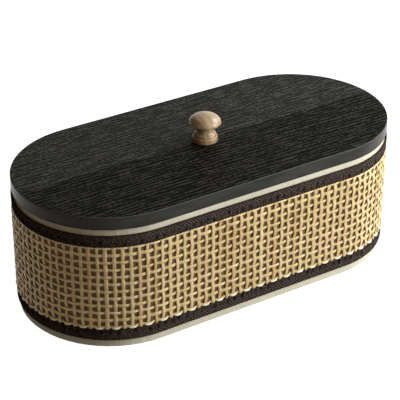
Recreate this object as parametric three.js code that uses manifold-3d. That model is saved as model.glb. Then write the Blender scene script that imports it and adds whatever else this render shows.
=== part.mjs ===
// Woven lidded box: a pill-shaped bent plywood box wrapped in woven cane between two tapes,
// closed by a lift-off veneered lid with a turned knob.
// Millimetres, +Z up, the length lies along X and the long front faces -Y.
// The origin is on the surface that the box stands on, below the knob.
import * as THREE from 'three';
import { mergeVertices } from 'three/addons/utils/BufferGeometryUtils.js';
import Module from 'manifold-3d';

const wasm = await Module();
wasm.setup();

// Box wall and base
const STRAIGHT_LENGTH = 193.6; // between the centres of the two round ends
const WALL_RADIUS = 83.5; // outside of the round ends
const WALL_THICKNESS = 4;
const WALL_HEIGHT = 116;
const RIM_EASING = 0.5; // eased edges at the top and bottom of the wall
const BASE_THICKNESS = 4;
const BASE_CLEARANCE = 0.2; // base board to wall

// Wrap: backing cloth on the wall, cane over its middle, a tape over each margin
const GLUE_LINE = 0.1; // between layers that lie on each other
const BACKING_THICKNESS = 0.3;
const BACKING_INSET = 1; // backing edge inside the tape's outer edge
const TAPE_WIDTH = 12;
const LOWER_TAPE_THICKNESS = 1.2;
const UPPER_TAPE_THICKNESS = 1.6; // stands a little proud of the cane
const LOWER_TAPE_HEIGHT = 7.6; // bare wall under the lower tape
const UPPER_TAPE_DROP = 5; // bare wall over the upper tape
const SEAM_GAP = 0.6; // where the wraps meet at the middle of the back

// Woven cane
const STRAND_PITCH = 7.08;
const STRAND_WIDTH = 3;
const STRAND_THICKNESS = 0.6; // the webbing is two strands thick where they cross
const WEAVER_DROP = 0.1; // weavers lie a little lower than stakes
const GAP_FLOOR = 0.15; // depth of material left behind each gap
const TOP_WEAVER_DROP = 1; // middle of the top weaver below the upper tape
const CANE_CLEARANCE = 0.25; // cane to the tapes above and below it

// Lid
const LID_OVERHANG = 1.5; // lid edge beyond the wall
const CORE_THICKNESS = 10.2;
const VENEER_THICKNESS = 0.55;
const LID_CHAMFER = 0.4; // top edge of the lid
const LEAF_JOINT = 0.1; // between the two veneer leaves
const LOCATING_THICKNESS = 5;
const LOCATING_CLEARANCE = 1; // locating board to the inside of the wall

// Knob
const KNOB_HEIGHT = 25.4;
const KNOB_HEAD_RADIUS = 14.4;
const KNOB_DOME_HEIGHT = 9.2; // head above its widest circle
const KNOB_UNDERSIDE_HEIGHT = 4.6; // head below its widest circle
const KNOB_WAIST_RADIUS = 7.2;
const KNOB_FOOT_RADIUS = 11.6;
const KNOB_FOOT_HEIGHT = 5.4;
const KNOB_FOOT_TAPER = 0.5; // foot narrower at its top than at its bottom
const KNOB_EASING = 0.5; // rounded corners of the foot
const COVE_FULLNESS = 0.4; // how little the cove is hollowed between foot and waist

// Knob screw and washer
const SCREW_RADIUS = 2;
const SCREW_BITE = 14; // thread inside the knob
const SCREW_CLEARANCE = 0.2;
const SCREW_HEAD_RADIUS = 4;
const SCREW_HEAD_HEIGHT = 2.4;
const SCREW_POINT = 2;
const RECESS_WIDTH = 1;
const RECESS_LENGTH = 4.4;
const RECESS_DEPTH = 1.2;
const WASHER_RADIUS = 6;
const WASHER_THICKNESS = 1;
const WASHER_HOLE_CLEARANCE = 1; // hole in the locating board round the washer

// Smoothness of round forms
const ARC_STEPS = 28; // steps round each half-round end
const TURNED_SIDES = 20;
const CURVE_STEPS = 4;

// Sizes that follow from the ones above
const STRAIGHT_HALF = STRAIGHT_LENGTH / 2;
const WALL_INNER_RADIUS = WALL_RADIUS - WALL_THICKNESS;
const BACKING_RADIUS = WALL_RADIUS + GLUE_LINE;
const WRAP_RADIUS = BACKING_RADIUS + BACKING_THICKNESS + GLUE_LINE;
const LOWER_TAPE_TOP = LOWER_TAPE_HEIGHT + TAPE_WIDTH;
const UPPER_TAPE_TOP = WALL_HEIGHT - UPPER_TAPE_DROP;
const UPPER_TAPE_BOTTOM = UPPER_TAPE_TOP - TAPE_WIDTH;
const LID_RADIUS = WALL_RADIUS + LID_OVERHANG;
const LID_BOTTOM = WALL_HEIGHT + GLUE_LINE;
const CORE_BOTTOM = LID_BOTTOM + VENEER_THICKNESS + GLUE_LINE;
const VENEER_BOTTOM = CORE_BOTTOM + CORE_THICKNESS + GLUE_LINE;
const LID_TOP = VENEER_BOTTOM + VENEER_THICKNESS;
const KNOB_BOTTOM = LID_TOP + GLUE_LINE;
const WASHER_BOTTOM = LID_BOTTOM - GLUE_LINE - WASHER_THICKNESS;
const SCREW_HOLE_RADIUS = SCREW_RADIUS + SCREW_CLEARANCE;
const LOCATING_HOLE_RADIUS = WASHER_RADIUS + WASHER_HOLE_CLEARANCE;

// Closed mesh to solid and back, for cuts
function solidOf(geometry) {
  const bare = geometry.clone();
  bare.deleteAttribute('normal');
  bare.deleteAttribute('uv');
  const merged = mergeVertices(bare);
  const mesh = new wasm.Mesh({
    numProp: 3,
    vertProperties: merged.attributes.position.array,
    triVerts: new Uint32Array(merged.index.array),
  });
  return new wasm.Manifold(mesh);
}

function meshGeometry(positions, triangles) {
  const geometry = new THREE.BufferGeometry();
  geometry.setAttribute('position', new THREE.Float32BufferAttribute(positions, 3));
  geometry.setIndex(Array.from(triangles));
  geometry.computeVertexNormals();
  return geometry;
}

function geometryOf(solid) {
  const mesh = solid.getMesh();
  return meshGeometry(mesh.vertProperties, mesh.triVerts);
}

// Pill outline: two half rounds joined by straight sides
function pillPath(path, radius) {
  path.absarc(STRAIGHT_HALF, 0, radius, -Math.PI / 2, Math.PI / 2);
  path.absarc(-STRAIGHT_HALF, 0, radius, Math.PI / 2, 1.5 * Math.PI);
  return path;
}

// Flat pill-shaped board with an optional round hole at its centre
function pillBoard(radius, thickness, holeRadius) {
  const shape = pillPath(new THREE.Shape(), radius);
  if (holeRadius > 0) {
    const circle = new THREE.Path().absarc(0, 0, holeRadius, 0, 2 * Math.PI);
    shape.holes.push(new THREE.Path(circle.getPoints(TURNED_SIDES / 2)));
  }
  return new THREE.ExtrudeGeometry(shape, {
    depth: thickness,
    bevelEnabled: false,
    curveSegments: ARC_STEPS,
  });
}

// Place on the spine of the pill and the outward direction there, at an angle round a half-round end
function endStation(angle) {
  const side = Math.cos(angle) < 0 ? -1 : 1;
  return { x: side * STRAIGHT_HALF, nx: Math.cos(angle), ny: Math.sin(angle) };
}

// Stations anticlockwise round the pill, from one side of the seam at the back to the other
function wrapStations(seam) {
  const stations = [{ x: -seam / 2, nx: 0, ny: 1 }];
  for (const start of [Math.PI / 2, -Math.PI / 2]) {
    const side = start > 0 ? -1 : 1;
    for (let step = 0; step <= ARC_STEPS; step += 1) {
      const angle = start + (Math.PI * step) / ARC_STEPS;
      stations.push({ x: side * STRAIGHT_HALF, nx: Math.cos(angle), ny: Math.sin(angle) });
    }
  }
  stations.push({ x: seam / 2, nx: 0, ny: 1 });
  return stations;
}

// A profile of [radius, height] points, anticlockwise, swept round the pill with a seam at the back,
// or with no seam when the seam is nothing
function pillSweep(profile, seam) {
  const closed = seam === 0;
  const stations = wrapStations(seam);
  if (closed) {
    stations.pop();
    stations.shift();
  }
  const positions = [];
  for (const { x, nx, ny } of stations) {
    for (const [radius, height] of profile) {
      positions.push(x + nx * radius, ny * radius, height);
    }
  }
  const points = profile.length;
  const triangles = [];
  const spans = closed ? stations.length : stations.length - 1;
  for (let span = 0; span < spans; span += 1) {
    const here = span * points;
    const next = ((span + 1) % stations.length) * points;
    for (let point = 0; point < points; point += 1) {
      const above = (point + 1) % points;
      triangles.push(here + point, next + point, next + above);
      triangles.push(here + point, next + above, here + above);
    }
  }
  if (!closed) {
    const outline = profile.map(([radius, height]) => new THREE.Vector2(radius, height));
    const last = (stations.length - 1) * points;
    for (const [a, b, c] of THREE.ShapeUtils.triangulateShape(outline, [])) {
      triangles.push(a, b, c);
      triangles.push(last + c, last + b, last + a);
    }
  }
  return meshGeometry(positions, triangles);
}

function rectangleProfile(innerRadius, thickness, bottom, top) {
  const outerRadius = innerRadius + thickness;
  return [[innerRadius, bottom], [outerRadius, bottom], [outerRadius, top], [innerRadius, top]];
}

// Bent plywood wall with eased rims
function wallShell() {
  const inner = WALL_INNER_RADIUS;
  const outer = WALL_RADIUS;
  const ease = RIM_EASING;
  return pillSweep([
    [inner + ease, 0],
    [outer - ease, 0],
    [outer, ease],
    [outer, WALL_HEIGHT - ease],
    [outer - ease, WALL_HEIGHT],
    [inner + ease, WALL_HEIGHT],
    [inner, WALL_HEIGHT - ease],
    [inner, ease],
  ], 0);
}

function baseBoard() {
  return pillBoard(WALL_INNER_RADIUS - BASE_CLEARANCE, BASE_THICKNESS, 0);
}

function backingWrap() {
  const bottom = LOWER_TAPE_HEIGHT + BACKING_INSET;
  const top = UPPER_TAPE_TOP - BACKING_INSET;
  return pillSweep(rectangleProfile(BACKING_RADIUS, BACKING_THICKNESS, bottom, top), SEAM_GAP);
}

// A tape with its two outer corners eased by a third of its thickness
function tape(bottom, thickness) {
  const top = bottom + TAPE_WIDTH;
  const outer = WRAP_RADIUS + thickness;
  const ease = thickness / 3;
  return pillSweep([
    [WRAP_RADIUS, bottom],
    [outer - ease, bottom],
    [outer, bottom + ease],
    [outer, top - ease],
    [outer - ease, top],
    [WRAP_RADIUS, top],
  ], SEAM_GAP);
}

// Station at a distance along the cane's back, anticlockwise from the middle of the back
function caneStation(distance, radius) {
  const arc = Math.PI * radius;
  const toLeftEnd = STRAIGHT_HALF;
  const toFront = toLeftEnd + arc;
  const toRightEnd = toFront + STRAIGHT_LENGTH;
  const toBack = toRightEnd + arc;
  if (distance < toLeftEnd) {
    return { x: -distance, nx: 0, ny: 1 };
  }
  if (distance < toFront) {
    return endStation(Math.PI / 2 + (distance - toLeftEnd) / radius);
  }
  if (distance < toRightEnd) {
    return { x: distance - toFront - STRAIGHT_HALF, nx: 0, ny: -1 };
  }
  if (distance < toBack) {
    return endStation(-Math.PI / 2 + (distance - toRightEnd) / radius);
  }
  return { x: STRAIGHT_HALF - (distance - toBack), nx: 0, ny: 1 };
}

// Woven cane as one closed strip: a ridge along each stake and weaver, a dent in each gap,
// with stakes and weavers taking turns on top where they cross
function caneWebbing() {
  const back = WRAP_RADIUS + GLUE_LINE;
  const crest = 2 * STRAND_THICKNESS;
  const bottom = LOWER_TAPE_TOP + CANE_CLEARANCE;
  const ceiling = UPPER_TAPE_BOTTOM - CANE_CLEARANCE;
  const lowest = LOWER_TAPE_TOP + STRAND_WIDTH / 2;
  const span = UPPER_TAPE_BOTTOM - TOP_WEAVER_DROP - lowest;
  const length = 2 * Math.PI * back + 2 * STRAIGHT_LENGTH - SEAM_GAP;
  const middleLength = length + 2 * Math.PI * STRAND_THICKNESS;
  const stakes = 2 * Math.round(middleLength / STRAND_PITCH / 2);
  const weavers = Math.round(span / STRAND_PITCH) + 1;
  const stakePitch = length / stakes;
  const weaverPitch = span / (weavers - 1);
  const positions = [];
  const triangles = [];

  // The outermost rows are the cut edges of the strip
  function rowHeight(row) {
    if (row === 0) {
      return bottom;
    }
    return row === weavers ? ceiling : lowest + (row - 0.5) * weaverPitch;
  }

  function vertex(column, row, depth) {
    const { x, nx, ny } = caneStation(SEAM_GAP / 2 + column * stakePitch, back);
    const radius = back + depth;
    positions.push(x + nx * radius, ny * radius, rowHeight(row));
    return positions.length / 3 - 1;
  }

  function grid(columns, rows, make) {
    return Array.from({ length: columns }, (_, i) => Array.from({ length: rows }, (__, j) => make(i, j)));
  }

  const stakeOnTop = (i, j) => (i + j) % 2 === 0;
  const crossing = grid(stakes, weavers, (i, j) =>
    vertex(i + 0.5, j + 0.5, stakeOnTop(i, j) ? crest : crest - WEAVER_DROP));
  const gap = grid(stakes + 1, weavers + 1, (i, j) =>
    vertex(i, j, j === 0 || j === weavers ? STRAND_THICKNESS : GAP_FLOOR));
  const stakeEnd = grid(stakes, 2, (i, j) => vertex(i + 0.5, j * weavers, STRAND_THICKNESS));
  const weaverEnd = grid(2, weavers, (i, j) => vertex(i * stakes, j + 0.5, STRAND_THICKNESS));
  const inner = grid(stakes + 1, 2, (i, j) => vertex(i, j * weavers, 0));

  // Each inner gap dips between four crossings
  for (let i = 1; i < stakes; i += 1) {
    for (let j = 1; j < weavers; j += 1) {
      const ring = [crossing[i - 1][j - 1], crossing[i][j - 1], crossing[i][j], crossing[i - 1][j]];
      ring.forEach((corner, k) => triangles.push(corner, ring[(k + 1) % 4], gap[i][j]));
    }
  }

  // Lower and upper edges, where the stakes run out
  const top = weavers;
  for (let i = 0; i < stakes; i += 1) {
    const low = crossing[i][0];
    const high = crossing[i][top - 1];
    const [lowEnd, highEnd] = stakeEnd[i];
    const [lowInner, highInner] = inner[i];
    const [lowInnerNext, highInnerNext] = inner[i + 1];
    triangles.push(gap[i][0], lowEnd, low, lowEnd, gap[i + 1][0], low);
    triangles.push(high, highEnd, gap[i][top], high, gap[i + 1][top], highEnd);
    triangles.push(lowInner, lowInnerNext, lowEnd, lowInnerNext, gap[i + 1][0], lowEnd);
    triangles.push(lowInner, lowEnd, gap[i][0]);
    triangles.push(highInner, highEnd, highInnerNext, highInnerNext, highEnd, gap[i + 1][top]);
    triangles.push(highInner, gap[i][top], highEnd);
    triangles.push(lowInner, highInner, highInnerNext, lowInner, highInnerNext, lowInnerNext);
    if (i > 0) {
      triangles.push(gap[i][0], low, crossing[i - 1][0]);
      triangles.push(gap[i][top], crossing[i - 1][top - 1], high);
    }
  }

  // The two ends at the seam, where the weavers run out
  const last = stakes;
  for (let j = 0; j < weavers; j += 1) {
    const first = crossing[0][j];
    const final = crossing[last - 1][j];
    const [startEnd, finalEnd] = [weaverEnd[0][j], weaverEnd[1][j]];
    triangles.push(gap[0][j], first, startEnd, startEnd, first, gap[0][j + 1]);
    triangles.push(gap[last][j], finalEnd, final, finalEnd, gap[last][j + 1], final);
    if (j > 0) {
      triangles.push(gap[0][j], crossing[0][j - 1], first);
      triangles.push(gap[last][j], final, crossing[last - 1][j - 1]);
    }
  }
  for (const [end, column] of [[0, 0], [1, last]]) {
    const outline = [new THREE.Vector2(0, 0)];
    const corners = [inner[column][0]];
    for (let j = 0; j <= weavers; j += 1) {
      outline.push(new THREE.Vector2(GAP_FLOOR, j));
      corners.push(gap[column][j]);
      if (j < weavers) {
        outline.push(new THREE.Vector2(STRAND_THICKNESS, j + 0.5));
        corners.push(weaverEnd[end][j]);
      }
    }
    outline.push(new THREE.Vector2(0, weavers));
    corners.push(inner[column][1]);
    for (const face of THREE.ShapeUtils.triangulateShape(outline, [])) {
      const [a, b, c] = face.map((index) => corners[index]);
      triangles.push(...(end === 0 ? [a, b, c] : [c, b, a]));
    }
  }
  return meshGeometry(positions, triangles);
}

// One of the two veneer leaves that meet along the middle of the lid, on the front or the back
function veneerLeaf(side) {
  const reach = STRAIGHT_HALF + 2 * LID_RADIUS;
  const plate = new THREE.ExtrudeGeometry(pillPath(new THREE.Shape(), LID_RADIUS), {
    depth: VENEER_THICKNESS,
    bevelThickness: LID_CHAMFER,
    bevelSize: LID_CHAMFER,
    bevelOffset: -LID_CHAMFER,
    bevelSegments: 1,
    curveSegments: ARC_STEPS,
  });
  plate.translate(0, 0, LID_TOP - VENEER_THICKNESS - LID_CHAMFER);
  const half = new THREE.BoxGeometry(2 * reach, reach, VENEER_THICKNESS);
  half.translate(0, side * (reach + LEAF_JOINT) / 2, VENEER_BOTTOM + VENEER_THICKNESS / 2);
  const hole = new THREE.CylinderGeometry(SCREW_HOLE_RADIUS, SCREW_HOLE_RADIUS, 4 * VENEER_THICKNESS, TURNED_SIDES);
  hole.rotateX(Math.PI / 2);
  hole.translate(0, 0, VENEER_BOTTOM);
  return geometryOf(solidOf(plate).intersect(solidOf(half)).subtract(solidOf(hole)));
}

// Profile of [radius, height] points turned about Z
function turned(points) {
  const geometry = new THREE.LatheGeometry(points, TURNED_SIDES);
  geometry.rotateX(Math.PI / 2);
  return geometry;
}

// Turned knob: a tapered foot, a cove up to the waist and a domed round head
function knob() {
  const foot = KNOB_FOOT_RADIUS;
  const footTop = KNOB_FOOT_RADIUS - KNOB_FOOT_TAPER;
  const ease = KNOB_EASING;
  const holeDepth = SCREW_BITE + GLUE_LINE;
  const widest = KNOB_HEIGHT - KNOB_DOME_HEIGHT;
  const headStart = -Math.acos(KNOB_WAIST_RADIUS / KNOB_HEAD_RADIUS);
  const waistHeight = widest + KNOB_UNDERSIDE_HEIGHT * Math.sin(headStart);
  const coveRadius = KNOB_WAIST_RADIUS + COVE_FULLNESS * (footTop - ease - KNOB_WAIST_RADIUS);
  const coveHeight = KNOB_FOOT_HEIGHT + COVE_FULLNESS * (waistHeight - KNOB_FOOT_HEIGHT);
  const outline = new THREE.Path();
  outline.moveTo(0, holeDepth);
  outline.lineTo(SCREW_HOLE_RADIUS, holeDepth);
  outline.lineTo(SCREW_HOLE_RADIUS, 0);
  outline.lineTo(foot - ease, 0);
  outline.lineTo(foot, ease);
  outline.lineTo(footTop, KNOB_FOOT_HEIGHT - ease);
  outline.lineTo(footTop - ease, KNOB_FOOT_HEIGHT);
  outline.quadraticCurveTo(coveRadius, coveHeight, KNOB_WAIST_RADIUS, waistHeight);
  outline.absellipse(0, widest, KNOB_HEAD_RADIUS, KNOB_UNDERSIDE_HEIGHT, headStart, 0);
  outline.absellipse(0, widest, KNOB_HEAD_RADIUS, KNOB_DOME_HEIGHT, 0, Math.PI / 2);
  const points = outline.getPoints(CURVE_STEPS);
  points.at(-1).setX(0);
  return turned(points);
}

// Pan-head screw, pointing up into the knob from under the lid, with a cross recess
function knobScrew() {
  const headTop = WASHER_BOTTOM - GLUE_LINE;
  const headBottom = headTop - SCREW_HEAD_HEIGHT;
  const tip = KNOB_BOTTOM + SCREW_BITE - GLUE_LINE;
  const outline = new THREE.Path();
  outline.moveTo(0, headBottom);
  outline.lineTo(SCREW_HEAD_RADIUS / 2, headBottom);
  outline.quadraticCurveTo(SCREW_HEAD_RADIUS, headBottom, SCREW_HEAD_RADIUS, headTop - SCREW_HEAD_HEIGHT / 2);
  outline.lineTo(SCREW_HEAD_RADIUS, headTop);
  outline.lineTo(SCREW_RADIUS, headTop);
  outline.lineTo(SCREW_RADIUS, tip - SCREW_POINT);
  outline.lineTo(0, tip);
  let solid = solidOf(turned(outline.getPoints(CURVE_STEPS)));
  for (const [width, length] of [[RECESS_WIDTH, RECESS_LENGTH], [RECESS_LENGTH, RECESS_WIDTH]]) {
    const slot = new THREE.BoxGeometry(width, length, 2 * RECESS_DEPTH);
    slot.translate(0, 0, headBottom);
    solid = solid.subtract(solidOf(slot));
  }
  return geometryOf(solid);
}

function knobWasher() {
  const shape = new THREE.Shape().absarc(0, 0, WASHER_RADIUS, 0, 2 * Math.PI);
  shape.holes.push(new THREE.Path().absarc(0, 0, SCREW_HOLE_RADIUS, 0, 2 * Math.PI));
  return new THREE.ExtrudeGeometry(shape, {
    depth: WASHER_THICKNESS,
    bevelEnabled: false,
    curveSegments: TURNED_SIDES / 2,
  });
}

// Finishes
const creamPaint = { color: 0xd8d2bc, roughness: 0.55, metalness: 0 };
const pale = { color: 0xcbb48c, roughness: 0.7, metalness: 0 };
const brownCloth = { color: 0x4a3322, roughness: 0.9, metalness: 0 };
const cane = { color: 0xc0a878, roughness: 0.6, metalness: 0 };
const brownTape = { color: 0x352d27, roughness: 0.85, metalness: 0 };
const blackPaint = { color: 0x34332f, roughness: 0.5, metalness: 0 };
const blackVeneer = { color: 0x2a2926, roughness: 0.6, metalness: 0 };
const turnedWood = { color: 0xb99a6c, roughness: 0.5, metalness: 0 };
const steel = { color: 0xb4b6b8, roughness: 0.3, metalness: 1 };

const group = new THREE.Group();

function add(name, geometry, finish, height) {
  const mesh = new THREE.Mesh(geometry, new THREE.MeshStandardMaterial(finish));
  mesh.name = name;
  mesh.position.z = height;
  group.add(mesh);
}

// Box
add('wall_shell', wallShell(), creamPaint, 0);
add('base_board', baseBoard(), pale, 0);
add('backing_wrap', backingWrap(), brownCloth, 0);
add('cane_webbing', caneWebbing(), cane, 0);
add('lower_tape', tape(LOWER_TAPE_HEIGHT, LOWER_TAPE_THICKNESS), brownTape, 0);
add('upper_tape', tape(UPPER_TAPE_BOTTOM, UPPER_TAPE_THICKNESS), brownTape, 0);

// Lid
const locatingRadius = WALL_INNER_RADIUS - LOCATING_CLEARANCE;
const locatingBottom = LID_BOTTOM - GLUE_LINE - LOCATING_THICKNESS;
const locatingBoard = pillBoard(locatingRadius, LOCATING_THICKNESS, LOCATING_HOLE_RADIUS);
add('lid_locating_board', locatingBoard, pale, locatingBottom);
add('lid_backing_veneer', pillBoard(LID_RADIUS, VENEER_THICKNESS, SCREW_HOLE_RADIUS), blackVeneer, LID_BOTTOM);
add('lid_core', pillBoard(LID_RADIUS, CORE_THICKNESS, SCREW_HOLE_RADIUS), blackPaint, CORE_BOTTOM);
add('lid_veneer_front', veneerLeaf(-1), blackVeneer, 0);
add('lid_veneer_back', veneerLeaf(1), blackVeneer, 0);
add('knob', knob(), turnedWood, KNOB_BOTTOM);
add('knob_screw', knobScrew(), steel, 0);
add('knob_washer', knobWasher(), steel, WASHER_BOTTOM);

export default group;
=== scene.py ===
import math

import bmesh
import bpy
import numpy as np
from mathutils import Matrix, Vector


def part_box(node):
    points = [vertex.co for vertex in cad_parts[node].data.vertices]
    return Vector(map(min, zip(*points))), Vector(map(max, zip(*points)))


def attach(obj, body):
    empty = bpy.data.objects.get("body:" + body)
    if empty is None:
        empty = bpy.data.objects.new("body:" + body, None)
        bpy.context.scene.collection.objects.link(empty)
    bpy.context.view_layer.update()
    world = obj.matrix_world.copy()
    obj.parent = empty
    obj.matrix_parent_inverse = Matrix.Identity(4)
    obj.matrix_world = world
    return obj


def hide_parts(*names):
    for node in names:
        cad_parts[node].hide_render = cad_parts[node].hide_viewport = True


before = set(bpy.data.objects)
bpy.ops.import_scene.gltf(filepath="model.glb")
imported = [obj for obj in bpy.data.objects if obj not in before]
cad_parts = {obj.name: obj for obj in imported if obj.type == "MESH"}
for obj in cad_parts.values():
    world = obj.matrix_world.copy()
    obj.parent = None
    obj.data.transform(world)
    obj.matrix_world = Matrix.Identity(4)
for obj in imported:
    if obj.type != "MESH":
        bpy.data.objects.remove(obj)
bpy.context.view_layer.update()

SEED = 41
chance = np.random.default_rng(SEED)

# Plain colours
WHITE = (1, 1, 1)
BLACK = (0, 0, 0)

# Places and sizes from the frame, in metres
MM = 0.001
LID_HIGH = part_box("lid_core")[1]
HALF_STRAIGHT = LID_HIGH.x - LID_HIGH.y
BACKING_LOW, BACKING_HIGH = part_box("backing_wrap")
LOWER_LOW, LOWER_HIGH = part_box("lower_tape")
UPPER_LOW, UPPER_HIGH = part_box("upper_tape")
KNOB_LOW, KNOB_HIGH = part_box("knob")
SEAM_GAP = 0.6 * MM
GLUE_LINE = 0.1 * MM

# Cane strands; the section is in widths and thicknesses
STRAND_PITCH = 7.08 * MM
STRAND_THICKNESS = 0.85 * MM
STRAND_SECTION = np.array([
    (-0.50, -0.05), (-0.48, 0.34), (-0.36, 0.48), (0.00, 0.50), (0.36, 0.48),
    (0.48, 0.34), (0.50, -0.05), (0.44, -0.50), (-0.44, -0.50),
])
STEPS_PER_CROSSING = 6
CROSSING_FLATNESS = 1.7
SIDE_WANDER = 0.22 * MM
WIDTH_WANDER = 0.08
TUCK_HEIGHT = 2.2 * MM
TUCK_PRESS = 0.5

# Upright stakes of the cane
STAKE_WIDTH = 3.0 * MM
STAKE_SWELL = 0.12
STAKE_OVERHANG = 0.6 * MM
STAKE_STRAY = 0.12 * MM
STAKE_SIDE_WAVES = (0.09, 0.035)
STAKE_WIDTH_WAVE = 0.05
STAKE_WIDTH_WAVES = (0.6, 0.25)
STAKE_TONES = (0.05, 0.6)

# Weavers of the cane, and the pale scallops of the lowest one
WEAVERS = 12
WEAVER_WIDTH = 2.6 * MM
WEAVER_DROP = 0.1
WEAVER_SIDE_WAVES = (0.21, 0.083, 0.031)
WEAVER_WIDTH_WAVE = 0.06
WEAVER_WIDTH_WAVES = (0.12, 0.04)
WEAVER_TONES = (0.5, 0.85)
SCALLOP_DIP = 0.6 * MM
SCALLOP_FLARE = 0.7 * MM
SCALLOP_PALE = 0.1

# Backing cloth
CLOTH_THICKNESS = 0.3 * MM
CLOTH_STATIONS = 400
CLOTH_CREASE = math.radians(40)

# Herringbone tapes
TAPE_STEP = 0.35 * MM
TAPE_ROWS = 17
TAPE_THICKNESS = 0.9 * MM
TAPE_BULGE = 0.4 * MM
TAPE_TUCK = 0.9 * MM
TAPE_TUCK_START = 0.875

# Ribs of the tapes
RIB_PITCH = 2.95 * MM
RIB_HEIGHT = 0.45 * MM
RIB_SLOPE = 1.0
RIB_STRAY = 0.3
RIB_STRAY_WAVES = (0.043, 0.017, 0.008)
RIB_STRENGTH = 0.7
RIB_STRENGTH_WANDER = 0.3
RIB_STRENGTH_WAVES = (0.031, 0.013, 0.007)
RIB_FADE = 0.6
RIB_FADE_START = 0.375
RIB_FADE_END = 0.625

# Edges of the tapes, which roll back and are notched by the ribs
EDGE_CALM_POWER = 6
EDGE_ROLL = 0.45 * MM
EDGE_ROLL_POWER = 8
EDGE_NOTCH = 0.5 * MM
EDGE_SHADE = 0.4

# Dips of the tapes between the stakes
DIP_DEPTH = 0.5 * MM
DIP_REACH = 1.3 * MM
DIP_STRAY = 0.6 * MM
DIP_LINE = 0.66
DIP_LINE_STRAY = 0.07
DIP_SPREAD = 0.16
DIP_STRENGTHS = (0.1, 1)
DIP_SHADE = 0.65

# Turned knob
KNOB_SIDES = 72
KNOB_WAIST = 7.2 * MM
KNOB_FOOT_RADIUS = 11.6 * MM
KNOB_FOOT = 4.4 * MM
KNOB_FOOT_TAPER = 0.4 * MM
KNOB_EASING = 0.5 * MM
KNOB_LEDGE = 0.5 * MM
KNOB_LEDGE_RISE = 0.3 * MM
KNOB_BELL = 3.2 * MM
KNOB_BELL_INSET = 1.4 * MM
KNOB_UNDERSIDE = 1.6 * MM
KNOB_DOME = 8.4 * MM
KNOB_TIP = 0.2 * MM
KNOB_CREASE = math.radians(50)

# Floor and light
FLOOR_REACH = 4.0
BOUNCE_DEPTH = 1 * MM
LIGHT_AIM = Vector((0, 0, 0.06))

# Camera that matches the photograph
CAMERA_PLACE = Vector((-0.6498, -1.0137, 0.7546))
CAMERA_AZIMUTH = math.radians(-32.455)
CAMERA_ELEVATION = math.radians(29.764)
CAMERA_LENS = 138.022
SENSOR_WIDTH = 36


# Finishes


class Finish:
    """A surface finish: one principled shader and the nodes that feed it."""

    def __init__(self, name, values):
        self.material = bpy.data.materials.new(name)
        self.material.use_nodes = True
        self.tree = self.material.node_tree
        self.shader = self.tree.nodes["Principled BSDF"]
        self.feed(self.shader, values)

    def feed(self, node, values):
        for socket, value in values.items():
            if isinstance(value, bpy.types.NodeSocket):
                self.tree.links.new(value, node.inputs[socket])
            else:
                node.inputs[socket].default_value = value

    def set(self, socket, value):
        self.feed(self.shader, {socket: value})

    def add(self, kind, values, **settings):
        node = self.tree.nodes.new("ShaderNode" + kind)
        for key, value in settings.items():
            setattr(node, key, value)
        self.feed(node, values)
        return node

    def place(self, scale, source="Object"):
        """Coordinates on the piece, stretched by a scale on each axis."""
        coordinates = self.add("TexCoord", {})
        mapping = self.add("Mapping", {"Vector": coordinates.outputs[source], "Scale": scale})
        return mapping.outputs["Vector"]

    def noise(self, vector, scale=1.0, detail=2.0, distortion=0.0):
        values = {"Vector": vector, "Scale": scale, "Detail": detail, "Distortion": distortion}
        return self.add("TexNoise", values).outputs["Fac"]

    def ramp(self, factor, stops):
        """A colour that runs through the stops, each a position and a colour."""
        node = self.add("ValToRGB", {"Fac": factor})
        points = node.color_ramp.elements
        while len(points) < len(stops):
            points.new(0.5)
        for point, (position, colour) in zip(points, stops):
            point.position = position
            point.color = (*colour, 1)
        return node.outputs["Color"]

    def maths(self, operation, first, second):
        return self.add("Math", {0: first, 1: second}, operation=operation).outputs["Value"]

    def blend(self, first, second, share):
        """Two values added up, with a share for the first and the rest for the second."""
        one = self.maths("MULTIPLY", first, share)
        other = self.maths("MULTIPLY", second, 1 - share)
        return self.maths("ADD", one, other)

    def mix(self, factor, first, second, kind="MIX"):
        """Two colours mixed; sockets 6 and 7 of the node hold colours."""
        node = self.add("Mix", {0: factor, 6: first, 7: second}, data_type="RGBA", blend_type=kind)
        return node.outputs[2]

    def height_of(self, vector):
        return self.add("SeparateXYZ", {0: vector}).outputs["Z"]

    def attribute(self, name):
        return self.add("Attribute", {}, attribute_name=name).outputs["Fac"]

    def bump(self, height, strength, distance):
        values = {"Height": height, "Strength": strength, "Distance": distance}
        self.set("Normal", self.add("Bump", values).outputs["Normal"])


def grey(value):
    return (value, value, value)


def cream_paint():
    finish = Finish("cream_paint", {"Roughness": 0.6, "Specular IOR Level": 0.04})
    fibres = finish.noise(finish.place((260, 260, 60)), scale=3.0, detail=3.0)
    clouds = finish.noise(finish.place((1, 1, 1)), scale=22.0)
    tone = finish.blend(fibres, clouds, 0.6)
    colour = finish.ramp(tone, [(0.3, (0.60, 0.565, 0.44)), (0.7, (0.75, 0.715, 0.58))])
    finish.set("Base Color", colour)
    finish.bump(fibres, strength=0.25, distance=0.3 * MM)
    return finish.material


def plywood():
    finish = Finish("pale_plywood", {"Roughness": 0.6})
    grain = finish.noise(finish.place((14, 240, 240)), scale=2.0, detail=4.0, distortion=0.6)
    finish.set("Base Color", finish.ramp(grain, [
        (0.25, (0.42, 0.29, 0.155)),
        (0.5, (0.58, 0.43, 0.25)),
        (0.8, (0.66, 0.52, 0.33)),
    ]))
    finish.bump(grain, strength=0.3, distance=0.4 * MM)
    return finish.material


def brown_cloth():
    finish = Finish("brown_cloth", {"Roughness": 0.9})
    threads = finish.noise(finish.place((900, 900, 900)))
    colour = finish.ramp(threads, [(0.3, (0.12, 0.068, 0.031)), (0.7, (0.25, 0.153, 0.076))])
    finish.set("Base Color", colour)
    finish.bump(threads, strength=0.5, distance=0.4 * MM)
    return finish.material


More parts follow.
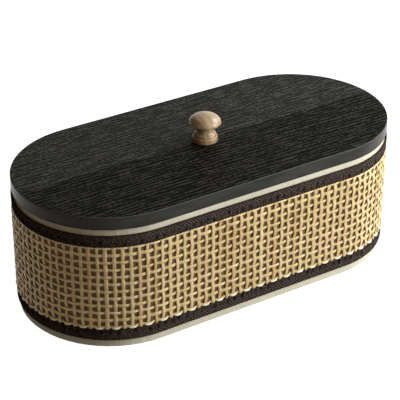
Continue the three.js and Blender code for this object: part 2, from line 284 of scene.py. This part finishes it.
def cane():
    finish = Finish("cane", {
        "Roughness": 0.4,
        "Specular IOR Level": 0.6,
        "Specular Tint": (1, 0.66, 0.30, 1),
    })
    straw = finish.ramp(finish.attribute("tone"), [
        (0.0, (0.56, 0.36, 0.16)),
        (0.2, (0.69, 0.50, 0.27)),
        (0.45, (0.75, 0.59, 0.35)),
        (0.65, (0.68, 0.56, 0.26)),
        (0.85, (0.83, 0.69, 0.40)),
        (1.0, (1.0, 0.98, 0.90)),
    ])
    fibres = finish.noise(finish.place((5200, 60, 1), "UV"), detail=3.0)
    blotches = finish.noise(finish.place((1, 1, 1)), scale=60.0, detail=3.0)
    wear = finish.ramp(finish.blend(fibres, blotches, 0.5), [(0.3, (0.74, 0.70, 0.62)), (0.6, WHITE)])
    finish.set("Base Color", finish.mix(1.0, straw, wear, "MULTIPLY"))
    finish.bump(fibres, strength=0.35, distance=0.3 * MM)
    return finish.material


def brown_tape():
    finish = Finish("brown_tape", {"Roughness": 0.85, "Specular IOR Level": 0.0})
    yarn = finish.noise(finish.place((620, 620, 620)), detail=1.0)
    # The rib attribute is painted shade in the rib valleys, on the rolled edges and in the dips, and a
    # painted highlight on the rib crests, blended with a random yarn tone
    height = finish.blend(finish.attribute("rib"), yarn, 0.5)
    finish.set("Base Color", finish.ramp(height, [
        (0.2, (0.002, 0.0015, 0.0012)),
        (0.5, (0.043, 0.0325, 0.027)),
        (0.8, (0.205, 0.165, 0.142)),
    ]))
    finish.bump(yarn, strength=0.5, distance=0.4 * MM)
    return finish.material


def black_edge():
    finish = Finish("black_edge", {"Roughness": 0.3, "Specular IOR Level": 0.1})
    clouds = finish.noise(finish.place((40, 40, 160)), detail=3.0)
    colour = finish.ramp(clouds, [(0.3, (0.024, 0.024, 0.0215)), (0.7, (0.042, 0.042, 0.0385))])
    finish.set("Base Color", colour)
    finish.bump(clouds, strength=0.1, distance=0.5 * MM)
    return finish.material


def black_veneer(name, pitch, sheen, lines, dark, middle, light):
    """Black-stained oak: close grain lines that break into dashes, with open pores all over."""
    finish = Finish(name, {"Specular IOR Level": sheen, "Specular Tint": (1, 0.96, 0.80, 1)})
    waves = {"Vector": finish.place((0.14, 1, 1)), "Scale": pitch, "Distortion": 5.0, "Detail": 1.0}
    grain = finish.add("TexWave", waves, bands_direction="Y").outputs["Fac"]
    dashes = finish.noise(finish.place((60, 430, 430)), detail=0.0)
    pores = finish.noise(finish.place((360, 430, 430)), detail=0.0)
    tone = finish.blend(grain, finish.blend(dashes, pores, 0.5), lines)
    colour = finish.ramp(tone, [(0.38, dark), (0.50, middle), (0.64, light)])
    rough = finish.ramp(grain, [(0.3, grey(0.62)), (0.7, grey(0.42))])
    # The eased arris is smoother than the open grain, and is painted lighter as a painted highlight where
    # it catches the light
    facing = finish.height_of(finish.add("NewGeometry", {}).outputs["Normal"])
    arris = finish.ramp(facing, [(0.2, BLACK), (0.4, WHITE), (0.85, WHITE), (0.97, BLACK)])
    finish.set("Base Color", finish.mix(arris, colour, (0.10, 0.10, 0.093, 1)))
    finish.set("Roughness", finish.mix(arris, rough, (0.4, 0.4, 0.4, 1)))
    finish.bump(finish.maths("ADD", grain, pores), strength=0.35, distance=0.5 * MM)
    return finish.material


def turned_wood():
    finish = Finish("turned_wood", {
        "Roughness": 0.5,
        "Specular IOR Level": 0.2,
        "Coat Weight": 1.0,
        "Coat Roughness": 0.4,
    })
    rings = finish.noise(finish.place((420, 60, 18)), detail=3.0, distortion=0.5)
    flecks = finish.noise(finish.place((900, 900, 140)))
    colour = finish.ramp(finish.blend(rings, flecks, 0.75), [
        (0.3, (0.21, 0.12, 0.052)),
        (0.5, (0.35, 0.24, 0.13)),
        (0.75, (0.48, 0.37, 0.23)),
    ])
    # Painted shade: the foot and neck are painted darker than the head, standing in for the shadow the head
    # casts on them
    above = finish.maths("ADD", finish.height_of(finish.place((1, 1, 1))), -KNOB_LOW.z)
    share = finish.maths("MULTIPLY", above, 1 / (KNOB_HIGH.z - KNOB_LOW.z))
    painted_shade = finish.ramp(share, [(0.5, (0.86, 0.80, 0.73)), (0.75, WHITE)])
    finish.set("Base Color", finish.mix(1.0, colour, painted_shade, "MULTIPLY"))
    finish.bump(flecks, strength=0.12, distance=0.3 * MM)
    return finish.material


def steel():
    finish = Finish("screw_steel", {"Metallic": 1.0, "Base Color": (0.58, 0.59, 0.60, 1)})
    turning = finish.noise(finish.place((500, 500, 4000)))
    finish.set("Roughness", finish.ramp(turning, [(0.3, grey(0.22)), (0.7, grey(0.42))]))
    finish.bump(turning, strength=0.15, distance=0.2 * MM)
    return finish.material


# Mesh building


def perimeter(radius):
    return 4 * HALF_STRAIGHT + 2 * math.pi * radius


def wall_line(distance, radius):
    """Spine place and outward direction at a distance round the box from the middle of its back."""
    turn = math.pi * radius
    way = np.mod(distance, perimeter(radius))
    ends = [HALF_STRAIGHT, HALF_STRAIGHT + turn, 3 * HALF_STRAIGHT + turn, 3 * HALF_STRAIGHT + 2 * turn]
    parts = [way < end for end in ends]
    left = np.full_like(way, -HALF_STRAIGHT)
    right = np.full_like(way, HALF_STRAIGHT)
    spine = np.select(
        parts,
        [-way, left, way - 2 * HALF_STRAIGHT - turn, right],
        4 * HALF_STRAIGHT + 2 * turn - way,
    )
    quarter = np.full_like(way, math.pi / 2)
    angle = np.select(
        parts,
        [quarter, quarter + (way - ends[0]) / radius, 3 * quarter, 3 * quarter + (way - ends[2]) / radius],
        quarter,
    )
    return spine, np.cos(angle), np.sin(angle)


def wrap(distance, radius, height, reference):
    """Points at a distance round the box, measured at a reference radius, and at a radius and height."""
    spine, out_x, out_y = wall_line(distance, reference)
    return np.stack([spine + out_x * radius, out_y * radius, height], axis=-1)


def strip_faces(rows, columns, first):
    """Quads and end caps of a strip whose section has the given number of columns."""
    row = np.arange(rows - 1)[:, None] * columns
    column = np.arange(columns)[None, :]
    after = (column + 1) % columns
    quads = np.stack([row + column, row + after, row + after + columns, row + column + columns], axis=-1)
    start = list(range(first, first + columns))
    last = first + (rows - 1) * columns
    end = list(range(last, last + columns))
    return (quads.reshape(-1, 4) + first).tolist() + [start[::-1], end]


def make_piece(name, points, faces, finish, body, replaced):
    mesh = bpy.data.meshes.new(name)
    mesh.from_pydata(points.reshape(-1, 3).tolist(), [], faces)
    shape = bmesh.new()
    shape.from_mesh(mesh)
    bmesh.ops.recalc_face_normals(shape, faces=shape.faces)
    shape.to_mesh(mesh)
    shape.free()
    mesh.shade_smooth()
    mesh.materials.append(finish)
    piece = bpy.data.objects.new(name, mesh)
    bpy.context.scene.collection.objects.link(piece)
    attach(piece, body)
    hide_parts(*replaced)
    return piece


def set_attribute(piece, name, values):
    attribute = piece.data.attributes.new(name, "FLOAT", "POINT")
    attribute.data.foreach_set("value", np.ascontiguousarray(values, np.float32).ravel())


def set_uv(piece, across, along):
    """Texture coordinates in metres, across and along each strand."""
    layer = piece.data.uv_layers.new(name="strand")
    corners = np.empty(len(piece.data.loops), np.int32)
    piece.data.loops.foreach_get("vertex_index", corners)
    pairs = np.stack([across.ravel()[corners], along.ravel()[corners]], axis=-1)
    layer.data.foreach_set("uv", pairs.astype(np.float32).ravel())


def ripple(along, strands, lengths):
    """A slow random wave for each strand, between about -1 and 1."""
    total = np.zeros((strands, along.size))
    for length in lengths:
        phase = chance.uniform(0, 2 * math.pi, (strands, 1))
        total += np.sin(2 * math.pi * along[None, :] / length + phase)
    return total / len(lengths)


# Woven cane: upright stakes, and weavers that pass over one stake and under the next

CANE_BACK = BACKING_HIGH.y + 2 * GLUE_LINE
CANE_MIDDLE = CANE_BACK + STRAND_THICKNESS
STAKES = 2 * round(perimeter(CANE_MIDDLE) / STRAND_PITCH / 2)
STAKE_PITCH = perimeter(CANE_MIDDLE) / STAKES
LOWEST_WEAVER = LOWER_HIGH.z + WEAVER_WIDTH / 2
HIGHEST_WEAVER = UPPER_LOW.z - WEAVER_DROP * WEAVER_WIDTH
WEAVER_PITCH = (HIGHEST_WEAVER - LOWEST_WEAVER) / (WEAVERS - 1)


def crossing_lift(count):
    """Height of a strand over and under its crossings, from -1 to 1, where crossings are whole counts."""
    swing = CROSSING_FLATNESS * np.cos(math.pi * count)
    return np.tanh(swing) / math.tanh(CROSSING_FLATNESS)


def pressed(height):
    """Share of the weave's thickness that is left at a height, since the upper tape presses on its edge."""
    near = np.clip((height - UPPER_LOW.z + TUCK_HEIGHT) / TUCK_HEIGHT, 0, 1)
    return 1 - TUCK_PRESS * near * near * (3 - 2 * near)


def strand_widths(width, along, strands, wave, lengths):
    """Widths along the strands: each has a width of its own, and swells and thins a little."""
    own = chance.normal(0, WIDTH_WANDER, (strands, 1))
    return width * (1 + own + wave * ripple(along, strands, lengths))


def cane_strands(name, distance, height, lift, flare, across, along, tone, finish):
    """One piece from many strands, given as arrays of strand, station and section point."""
    depth = STRAND_THICKNESS * (1 + lift[:, :, None] / 2 + STRAND_SECTION[:, 1])
    radius = CANE_BACK + depth * pressed(height) + flare
    points = wrap(distance, radius, height, CANE_MIDDLE)
    strands, stations, columns = distance.shape
    faces = []
    for strand in range(strands):
        faces += strip_faces(stations, columns, strand * stations * columns)
    piece = make_piece(name, points, faces, finish, "box", ["cane_webbing"])
    set_attribute(piece, "tone", np.broadcast_to(tone, distance.shape))
    set_uv(piece, across, along)


def weave_stakes(finish):
    share = np.linspace(0, 1, WEAVERS * STEPS_PER_CROSSING)
    order = np.arange(STAKES)
    even = order % 2 == 0
    foot = LOWER_HIGH.z + GLUE_LINE - np.where(even, STAKE_OVERHANG, 0)
    head = HIGHEST_WEAVER + WEAVER_WIDTH / 2
    height = foot[:, None] + (head - foot[:, None]) * share[None, :]
    middle = (order + 0.5) * STAKE_PITCH + chance.normal(0, STAKE_STRAY, STAKES)
    side = SIDE_WANDER * ripple(share * (head - LOWER_HIGH.z), STAKES, STAKE_SIDE_WAVES)
    width = strand_widths(STAKE_WIDTH, share, STAKES, STAKE_WIDTH_WAVE, STAKE_WIDTH_WAVES)
    # The stakes are widest at the right end of the box
    around = (order + 0.5) / STAKES
    width *= 1 + STAKE_SWELL * np.sin(2 * math.pi * np.clip(around - 0.5, 0, 0.5))[:, None]
    across = width[:, :, None] * STRAND_SECTION[:, 0]
    distance = (middle[:, None] + side)[:, :, None] + across
    over_first = np.where(even, 1.0, -1.0)
    lift = over_first[:, None] * crossing_lift((height - LOWEST_WEAVER) / WEAVER_PITCH)
    tone = chance.uniform(*STAKE_TONES, STAKES)[:, None, None]
    offset = chance.uniform(0, 1, STAKES)[:, None, None]
    tall = np.broadcast_to(height[:, :, None], distance.shape)
    flare = np.zeros(distance.shape)
    cane_strands("cane_stakes", distance, tall, lift, flare, across + offset, tall, tone, finish)


def weave_weavers(finish):
    """Weavers that end on both sides of the seam at the back; the lowest shows pale scallops."""
    stations = STAKES * STEPS_PER_CROSSING
    run = np.linspace(SEAM_GAP / 2, perimeter(CANE_MIDDLE) - SEAM_GAP / 2, stations)
    order = np.arange(WEAVERS)
    under_first = np.where(order % 2 == 0, -1.0, 1.0)
    middle = LOWEST_WEAVER + order * WEAVER_PITCH
    rise = SIDE_WANDER * ripple(run, WEAVERS, WEAVER_SIDE_WAVES)
    lift = under_first[:, None] * crossing_lift(run / STAKE_PITCH - 0.5)[None, :]
    raised = np.clip(lift[0], 0, 1)
    rise[0] = -SCALLOP_DIP * raised
    width = strand_widths(WEAVER_WIDTH, run, WEAVERS, WEAVER_WIDTH_WAVE, WEAVER_WIDTH_WAVES)
    across = width[:, :, None] * STRAND_SECTION[:, 0]
    height = (middle[:, None] + rise)[:, :, None] + across
    distance = np.broadcast_to(run[None, :, None], height.shape)
    tone = np.broadcast_to(chance.uniform(*WEAVER_TONES, WEAVERS)[:, None, None], height.shape).copy()
    pale = STRAND_SECTION[:, 0] < SCALLOP_PALE
    bulge = np.clip(2 * lift[0], 0, 1)[:, None]
    tone[0][:, pale] = tone[0][:, pale] * (1 - bulge) + bulge
    below_middle = np.clip(-2 * STRAND_SECTION[:, 0], 0, 1)
    flare = np.zeros(height.shape)
    flare[0] = SCALLOP_FLARE * raised[:, None] * below_middle
    offset = chance.uniform(0, 1, WEAVERS)[:, None, None]
    cane_strands("cane_weavers", distance, height, lift, flare, across + offset, distance, tone, finish)


# Herringbone tapes and the cloth behind the cane


def tape_ribs(run, rise, to_cane, point_way):
    """Height of the ribs, from 0 to 1; they slant to the middle line and fade towards the cane."""
    phase = (run[:, None] + point_way * RIB_SLOPE * np.abs(rise)[None, :]) / RIB_PITCH
    phase += RIB_STRAY * ripple(run, 1, RIB_STRAY_WAVES)[0][:, None]
    strength = RIB_STRENGTH + RIB_STRENGTH_WANDER * ripple(run, 1, RIB_STRENGTH_WAVES)[0][:, None]
    near_cane = np.clip((to_cane - RIB_FADE_START) / (RIB_FADE_END - RIB_FADE_START), 0, 1)
    strength = strength * (1 - RIB_FADE * near_cane)
    return 0.5 + 0.5 * strength * np.cos(2 * math.pi * phase)


def tape_dips(run, to_cane):
    """Depth, from 0 to 1, of the dips that the cloth has between the stakes."""
    between = np.round(run / STAKE_PITCH).astype(int)
    places = STAKES + 2
    shift = chance.normal(0, DIP_STRAY, places)[between]
    line = chance.normal(DIP_LINE, DIP_LINE_STRAY, places)[between]
    depth = chance.uniform(*DIP_STRENGTHS, places)[between]
    dip = np.exp(-((to_cane[None, :] - line[:, None]) / DIP_SPREAD) ** 2)
    dip *= (depth * np.exp(-((run - between * STAKE_PITCH - shift) / DIP_REACH) ** 2))[:, None]
    return dip


def herringbone_tape(node, low, high, inner, outer, point_way, tucked, finish):
    """A woven tape wrapped round the box, with slanted ribs that meet at its middle line."""
    length = perimeter(outer) - SEAM_GAP
    run = SEAM_GAP / 2 + np.linspace(0, length, round(length / TAPE_STEP))
    share = np.linspace(0, 1, TAPE_ROWS)
    rise = (share - 0.5) * (high.z - low.z)
    to_cane = share if point_way < 0 else 1 - share
    rib = tape_ribs(run, rise, to_cane, point_way)
    dip = tape_dips(run, to_cane)
    edge = np.abs(2 * share - 1)
    calm = 1 - edge ** EDGE_CALM_POWER
    face = outer - EDGE_ROLL * edge ** EDGE_ROLL_POWER - RIB_HEIGHT * (1 - rib) * calm - DIP_DEPTH * dip
    face -= tucked * np.clip((share - TAPE_TUCK_START) / (1 - TAPE_TUCK_START), 0, 1) ** 2
    backs = np.full((run.size, 2), inner)
    radius = np.concatenate([face, backs], axis=1)
    notch = EDGE_NOTCH * (0.5 + 0.5 * np.cos(2 * math.pi * run / RIB_PITCH))[:, None]
    level = low.z + share * (high.z - low.z) - notch * np.sign(rise) * edge ** EDGE_CALM_POWER
    level_backs = np.broadcast_to([high.z - EDGE_NOTCH, low.z + EDGE_NOTCH], backs.shape)
    height = np.concatenate([level, level_backs], axis=1)
    distance = np.broadcast_to(run[:, None], radius.shape)
    points = wrap(distance, radius, height, outer)
    faces = strip_faces(run.size, TAPE_ROWS + 2, 0)
    piece = make_piece(node + "_cloth", points, faces, finish, "box", [node])
    # Painted shade and highlight: the rib valleys, the rolled edges and the dips between the stakes are
    # painted darker, and the rib crests lighter
    painted_shade = rib * (EDGE_SHADE + (1 - EDGE_SHADE) * calm) - DIP_SHADE * dip
    set_attribute(piece, "rib", np.concatenate([painted_shade, 0 * backs], axis=1))


def backing_cloth(finish):
    outer = BACKING_HIGH.y
    inner = outer - CLOTH_THICKNESS
    length = perimeter(outer) - SEAM_GAP
    run = SEAM_GAP / 2 + np.linspace(0, length, CLOTH_STATIONS)
    radius = np.broadcast_to([outer, outer, inner, inner], (run.size, 4))
    height = np.broadcast_to([BACKING_LOW.z, BACKING_HIGH.z, BACKING_HIGH.z, BACKING_LOW.z], radius.shape)
    points = wrap(np.broadcast_to(run[:, None], radius.shape), radius, height, outer)
    faces = strip_faces(run.size, 4, 0)
    piece = make_piece("backing_cloth", points, faces, finish, "box", ["backing_wrap"])
    piece.data.set_sharp_from_angle(angle=CLOTH_CREASE)


# Turned knob


def quarter_curve(start, end, leads, steps):
    """Points of a quarter ellipse from start to end; its radius or its height leads."""
    angle = np.linspace(0, math.pi / 2, steps)
    first, second = np.sin(angle), 1 - np.cos(angle)
    if leads == "height":
        first, second = second, first
    radius = start[0] + (end[0] - start[0]) * first
    height = start[1] + (end[1] - start[1]) * second
    return list(zip(radius, height))


def knob_profile():
    """Radius and height of the knob's outline, from its flat bottom up to the tip of the dome."""
    bottom, top = KNOB_LOW.z, KNOB_HIGH.z
    head, foot, ease = KNOB_HIGH.y, KNOB_FOOT_RADIUS, KNOB_EASING
    shoulder = top - KNOB_DOME
    rim = foot - KNOB_FOOT_TAPER
    rim_top = bottom + KNOB_FOOT
    bell = rim - ease - KNOB_LEDGE
    # Each leg has its end, what leads and its number of points; two points make a straight leg
    legs = [
        ((foot, bottom + ease), "radius", 5),
        ((rim, rim_top - ease), "height", 2),
        ((rim - ease, rim_top), "height", 5),
        ((bell, rim_top + KNOB_LEDGE_RISE), "radius", 4),
        ((bell - KNOB_BELL_INSET, rim_top + KNOB_BELL), "height", 8),
        ((KNOB_WAIST, shoulder - KNOB_UNDERSIDE), "radius", 10),
        ((head, shoulder), "radius", 16),
        ((KNOB_TIP, top), "height", 20),
    ]
    profile = [(foot - ease, bottom)]
    for end, leads, steps in legs:
        profile += quarter_curve(profile[-1], end, leads, steps)[1:]
    return np.array(profile).T


def turned_knob(finish):
    radius, height = knob_profile()
    angle = np.linspace(0, 2 * math.pi, KNOB_SIDES, endpoint=False)
    points = np.stack([
        np.outer(radius, np.cos(angle)),
        np.outer(radius, np.sin(angle)),
        np.repeat(height[:, None], KNOB_SIDES, axis=1),
    ], axis=-1)
    faces = strip_faces(radius.size, KNOB_SIDES, 0)
    piece = make_piece("turned_knob", points, faces, finish, "lid", ["knob"])
    piece.data.set_sharp_from_angle(angle=KNOB_CREASE)


# The whole box

FINISHES = {
    "wall_shell": cream_paint(),
    "base_board": plywood(),
    "lid_core": black_edge(),
    "lid_veneer_front": black_veneer(
        "veneer_front",
        pitch=72,
        sheen=0.025,
        lines=0.14,
        dark=(0.001, 0.001, 0.0008),
        middle=(0.005, 0.0049, 0.0042),
        light=(0.034, 0.0325, 0.0255),
    ),
    # The back leaf is the same stained oak as the front leaf, with more sheen; its colours are painted
    # lighter, a painted reflection
    "lid_veneer_back": black_veneer(
        "veneer_back",
        pitch=80,
        sheen=0.075,
        lines=0.06,
        dark=(0.002, 0.002, 0.0017),
        middle=(0.009, 0.0088, 0.0078),
        light=(0.049, 0.0475, 0.0405),
    ),
    "knob_screw": steel(),
}
FINISHES["lid_locating_board"] = FINISHES["base_board"]
FINISHES["lid_backing_veneer"] = FINISHES["lid_veneer_front"]
FINISHES["knob_washer"] = FINISHES["knob_screw"]

for node, finish in FINISHES.items():
    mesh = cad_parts[node].data
    mesh.materials.clear()
    mesh.materials.append(finish)

CANE = cane()
TAPE = brown_tape()
backing_cloth(brown_cloth())
weave_stakes(CANE)
weave_weavers(CANE)
herringbone_tape(
    "lower_tape",
    LOWER_LOW,
    LOWER_HIGH,
    inner=BACKING_HIGH.y + GLUE_LINE,
    outer=LOWER_HIGH.y + TAPE_BULGE,
    point_way=-1,
    tucked=TAPE_TUCK,
    finish=TAPE,
)
herringbone_tape(
    "upper_tape",
    UPPER_LOW,
    UPPER_HIGH,
    inner=UPPER_HIGH.y - TAPE_THICKNESS,
    outer=UPPER_HIGH.y,
    point_way=1,
    tucked=0,
    finish=TAPE,
)
turned_knob(turned_wood())


# Floor, light and camera


def studio_sheet(name, corners, colour, glow):
    finish = Finish(name, {"Roughness": 0.9, "Base Color": (colour, colour, colour, 1)})
    finish.feed(finish.shader, {"Emission Color": (1, 1, 1, 1), "Emission Strength": glow})
    mesh = bpy.data.meshes.new(name)
    mesh.from_pydata(corners, [], [(0, 1, 2, 3)])
    mesh.materials.append(finish.material)
    sheet = bpy.data.objects.new(name, mesh)
    bpy.context.scene.collection.objects.link(sheet)
    return sheet


def flat_floor(name, height, colour, glow):
    ends = [(-1, -1), (1, -1), (1, 1), (-1, 1)]
    corners = [(FLOOR_REACH * x, FLOOR_REACH * y, height) for x, y in ends]
    return studio_sheet(name, corners, colour, glow)


def soft_light(name, place, size, power, colour=WHITE):
    data = bpy.data.lights.new(name, "AREA")
    data.shape = "DISK"
    data.color = colour
    data.size = size
    data.energy = power
    lamp = bpy.data.objects.new(name, data)
    lamp.location = place
    lamp.rotation_euler = (LIGHT_AIM - Vector(place)).to_track_quat("-Z", "Y").to_euler()
    bpy.context.scene.collection.objects.link(lamp)
    return lamp


def studio():
    scene = bpy.context.scene
    scene.view_settings.view_transform = "Standard"
    scene.world = bpy.data.worlds.new("studio")
    scene.world.use_nodes = True
    sky = scene.world.node_tree.nodes["Background"]
    sky.inputs["Color"].default_value = (1, 0.80, 0.58, 1)
    sky.inputs["Strength"].default_value = 0.055
    # The floor that is seen and the backdrop are nearly white, and only glossy surfaces reflect them
    seen = flat_floor("floor", height=0.0, colour=0.3, glow=0.97)
    seen.visible_diffuse = False
    corners = [(0.3, 3.0, 0), (3.4, -0.6, 0), (3.4, -0.6, 3), (0.3, 3.0, 3)]
    backdrop = studio_sheet("backdrop", corners, colour=0.3, glow=0.9)
    backdrop.visible_diffuse = False
    # Rough surfaces get the light of a plain floor just below, which the camera doesn't see
    bounce = flat_floor("floor_bounce", height=-BOUNCE_DEPTH, colour=0.4, glow=0.0)
    bounce.visible_camera = False
    bounce.visible_shadow = False
    soft_light("key", (0.63, -0.70, 0.46), size=0.6, power=12.8)
    soft_light("side", (0.80, -0.02, 0.76), size=0.42, power=8.2)
    behind = soft_light("back", (0.30, 1.30, 0.10), size=0.2, power=6, colour=(1, 0.95, 0.88))
    behind.visible_glossy = False
    soft_light("fill", (-0.62, -0.80, 0.85), size=0.6, power=1.6, colour=(1, 0.77, 0.52))


def photo_camera():
    data = bpy.data.cameras.new("photo_camera")
    data.lens = CAMERA_LENS
    data.sensor_width = SENSOR_WIDTH
    camera = bpy.data.objects.new("photo_camera", data)
    flat = math.cos(CAMERA_ELEVATION)
    back_x = math.sin(CAMERA_AZIMUTH) * flat
    back_y = -math.cos(CAMERA_AZIMUTH) * flat
    back = Vector((back_x, back_y, math.sin(CAMERA_ELEVATION)))
    camera.location = CAMERA_PLACE
    camera.rotation_mode = "QUATERNION"
    camera.rotation_quaternion = (-back).to_track_quat("-Z", "Y")
    bpy.context.scene.collection.objects.link(camera)
    bpy.context.scene.camera = camera


studio()
photo_camera()
